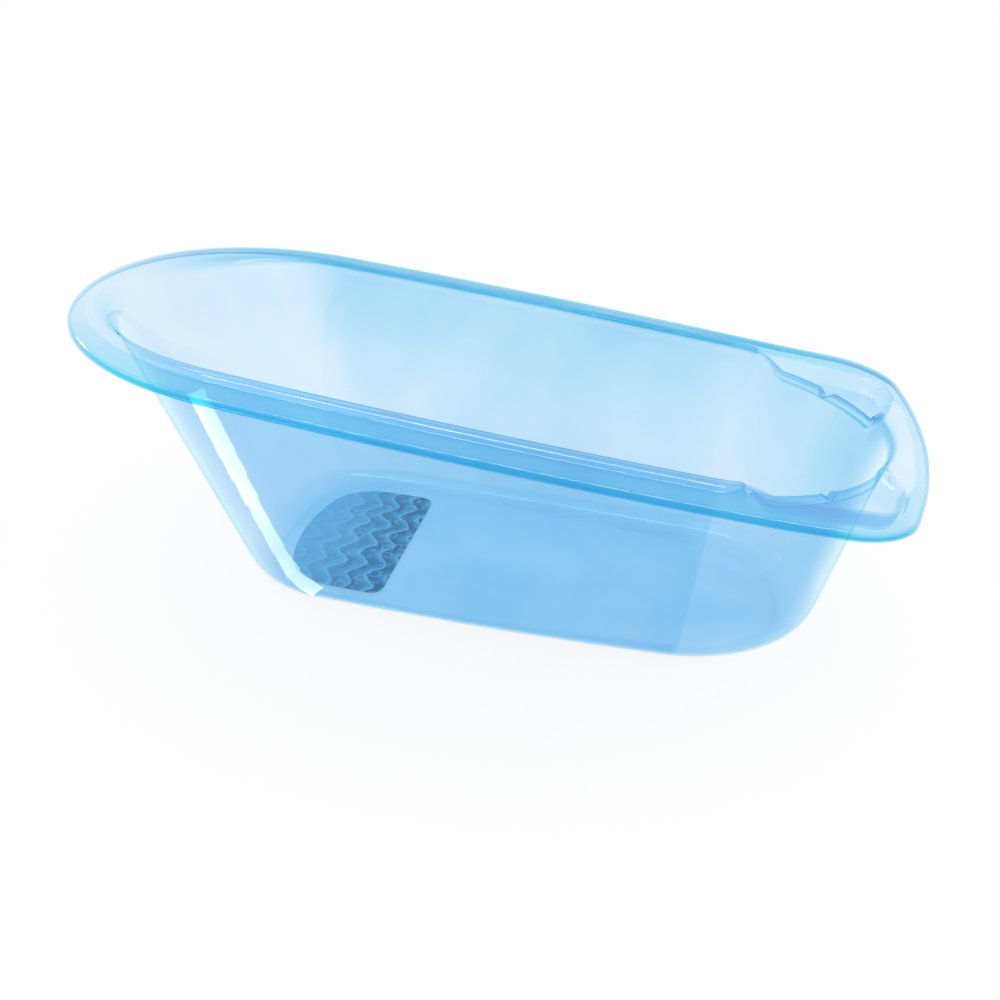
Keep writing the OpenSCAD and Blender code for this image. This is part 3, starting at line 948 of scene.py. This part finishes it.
# %% Paler toward the head end, and the film's satin face
film_low, film_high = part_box("floor_label")
head_end_blue, most_pale = (0.20, 0.68, 0.98, 1), 0.82
film_swing, film_rough, film_shine = 0.2, 0.2, 0.25
film_wave_strength, film_wave_depth = 0.15, 0.001
pale_share = soft_step(tree, parts.outputs["X"], film_low[0], film_high[0], most_pale, 0.0)
colour = mix_colours(tree, pale_share, printed, head_end_blue)
roughness = add_math(tree, "MULTIPLY_ADD", film_marks.outputs["Clouds"], film_swing, film_rough)
bump = add_bump(tree, film_marks.outputs["Waves"], film_wave_strength, film_wave_depth)
feed(tree, surface, {"Base Color": colour, "Roughness": roughness, "Normal": bump})
feed(tree, surface, {"Specular IOR Level": film_shine})
film.data.materials.clear()
film.data.materials.append(print_film)
print("film", print_film.name, "on", film.name)

# %% [markdown]
# ## The floor
# The tub stands on pale paper. Paper that only reflects light would come out grey, so where the paper is
# seen straight, in a reflection or through the plastic, most of it shines plain white. The rest is lit as
# real paper is, and keeps the tub's soft shadow, most of all close to the tub.

# %% Lay the paper
below_tub = -0.0008
bpy.ops.object.select_all(action="DESELECT")
bpy.ops.mesh.primitive_plane_add(size=24, location=(0, 0, below_tub))
bpy.ops.object.transform_apply(location=True)
ground = bpy.context.object
ground.name = "ground"
print("paper", [round(v, 1) for v in ground.dimensions])


# %% Make it white, with a soft shadow
def seen_white(tree):
    """One for a ray that shows the background: straight, in a reflection or through the plastic."""
    path = add_node(tree, "ShaderNodeLightPath").outputs
    mirrored = add_math(tree, "MAXIMUM", path["Is Glossy Ray"], path["Is Transmission Ray"])
    return add_math(tree, "MAXIMUM", path["Is Camera Ray"], mirrored)


paper, tree, surface, output = new_material("pale_paper")
feed(tree, surface, {"Base Color": (0.92, 0.92, 0.92, 1), "Roughness": 0.9, "Specular IOR Level": 0.0})
shadow_core, shadow_end, least_white = 0.18, 0.5, 0.82
place = add_node(tree, "ShaderNodeTexCoord").outputs["Object"]
apart = add_node(tree, "ShaderNodeVectorMath", {0: place}, operation="LENGTH")
whiteness = soft_step(tree, apart.outputs["Value"], shadow_core, shadow_end, least_white, 1.0)
white_share = add_math(tree, "MULTIPLY", seen_white(tree), whiteness)
glow = add_node(tree, "ShaderNodeEmission")
both = {0: white_share, 1: surface.outputs["BSDF"], 2: glow.outputs["Emission"]}
mix = add_node(tree, "ShaderNodeMixShader", both)
feed(tree, output, {"Surface": mix.outputs["Shader"]})
ground.data.materials.append(paper)
print(f"the shadow fades out {shadow_end} m from the tub's middle")

# %% [markdown]
# ## The sky
# A plain white sky lights the tub evenly from all sides, at about the level at which a colour comes out as
# it is written. Two wide glows on the foot end's side brighten the gloss. Lamps could stand there instead,
# but a lamp has an edge, and its edge would show in a smooth wall.

# %% Light the sky
world = bpy.data.worlds.new("studio")
bpy.context.scene.world = world
world.use_nodes = True
tree = world.node_tree
sky = tree.nodes["Background"]
sky_place = add_node(tree, "ShaderNodeTexCoord").outputs["Generated"]


def soft_glow(azimuth, elevation, inner, outer, gain):
    """A wide soft lamp in the sky: full inside the inner angle, fading to nothing at the outer one."""
    around, above = math.radians(azimuth), math.radians(elevation)
    level = math.cos(above)
    middle = (math.cos(around) * level, math.sin(around) * level, math.sin(above))
    near = add_node(tree, "ShaderNodeVectorMath", {0: sky_place, 1: middle}, operation="DOT_PRODUCT")
    fade_start, fade_end = math.cos(math.radians(outer)), math.cos(math.radians(inner))
    return soft_step(tree, near.outputs["Value"], fade_start, fade_end, 0.0, gain)


sky_level, white_level = 0.55, 1.0
plain_sky = add_math(tree, "MULTIPLY_ADD", seen_white(tree), white_level - sky_level, sky_level)
glows = add_math(tree, "ADD", soft_glow(-12, 26, 4, 26, 0.5), soft_glow(-55, 15, 5, 34, 0.4))
path = add_node(tree, "ShaderNodeLightPath")
hidden = add_math(tree, "SUBTRACT", 1.0, path.outputs["Is Camera Ray"])
glows = add_math(tree, "MULTIPLY", glows, hidden)
feed(tree, sky, {"Color": (1, 1, 1, 1), "Strength": add_math(tree, "ADD", plain_sky, glows)})
print("sky level", sky_level)

# %% Set how colours are shown and how far light is followed
bpy.context.scene.view_settings.view_transform = "Standard"
cycles = bpy.context.scene.cycles
cycles.max_bounces = cycles.transmission_bounces = 32
cycles.glossy_bounces = 16
print("light is followed for", cycles.max_bounces, "bounces")

# %% [markdown]
# ## The lamps
# A large soft lamp gives the tub a light side. Two more only show in its gloss: one overhead draws the
# bright lines along the rim, and one at the left adds sparks. A row of small flat lamps on the paper beside
# the head end mirrors in the sloping wall as a white band. One long lamp would be simpler than the row,
# but it couldn't grow narrower toward its end, as the band on the real tub does.

# %% Hang the lamps
def soft_light(name, place, size, power, target=(0, 0, 0.1)):
    lamp = bpy.data.lights.new(name, "AREA")
    lamp.shape = "RECTANGLE"
    lamp.size, lamp.size_y = size
    lamp.energy = power
    holder = bpy.data.objects.new(name, lamp)
    bpy.context.scene.collection.objects.link(holder)
    holder.location = place
    holder.rotation_euler = (Vector(target) - Vector(place)).to_track_quat("-Z", "Y").to_euler()
    holder.visible_camera = False
    return holder


soft_light("key_light", (-1.4, -1.2, 2.0), (2.4, 2.0), 18)
gloss_lamps = [
    soft_light("overhead_strip", (0, -0.25, 1.6), (1.5, 0.25), 15),
    soft_light("left_window", (-1.706, 0.457, 0.94), (0.40, 0.30), 5),
]
for holder in gloss_lamps:
    holder.visible_diffuse = holder.visible_transmission = False
print("lamps", [holder.name for holder in gloss_lamps])

# %% Lay the row of small lamps
row_turn, row_count, row_glow, row_height = math.radians(20.1), 9, 27.0, 0.004
row_middle = (-0.3555, -0.2355)
row_ends = np.linspace(-0.46, -0.135, row_count + 1)
width_places = [-0.46, -0.3555, -0.2645, -0.1615, -0.125]
row_widths = [0.115, 0.091, 0.049, 0.025, 0.02]
for n in range(row_count):
    x = (row_ends[n] + row_ends[n + 1]) / 2
    y = row_middle[1] + (x - row_middle[0]) * math.tan(row_turn)
    reach = (row_ends[n + 1] - row_ends[n]) / math.cos(row_turn)
    row_width = float(np.interp(x, width_places, row_widths))
    power = row_glow * reach * row_width
    holder = soft_light(f"strip_light_{n + 1}", (x, y, row_height), (reach, row_width), power)
    holder.rotation_euler = (math.pi, 0, row_turn)
    holder.visible_transmission = False
print(row_count, "small lamps beside the head end")
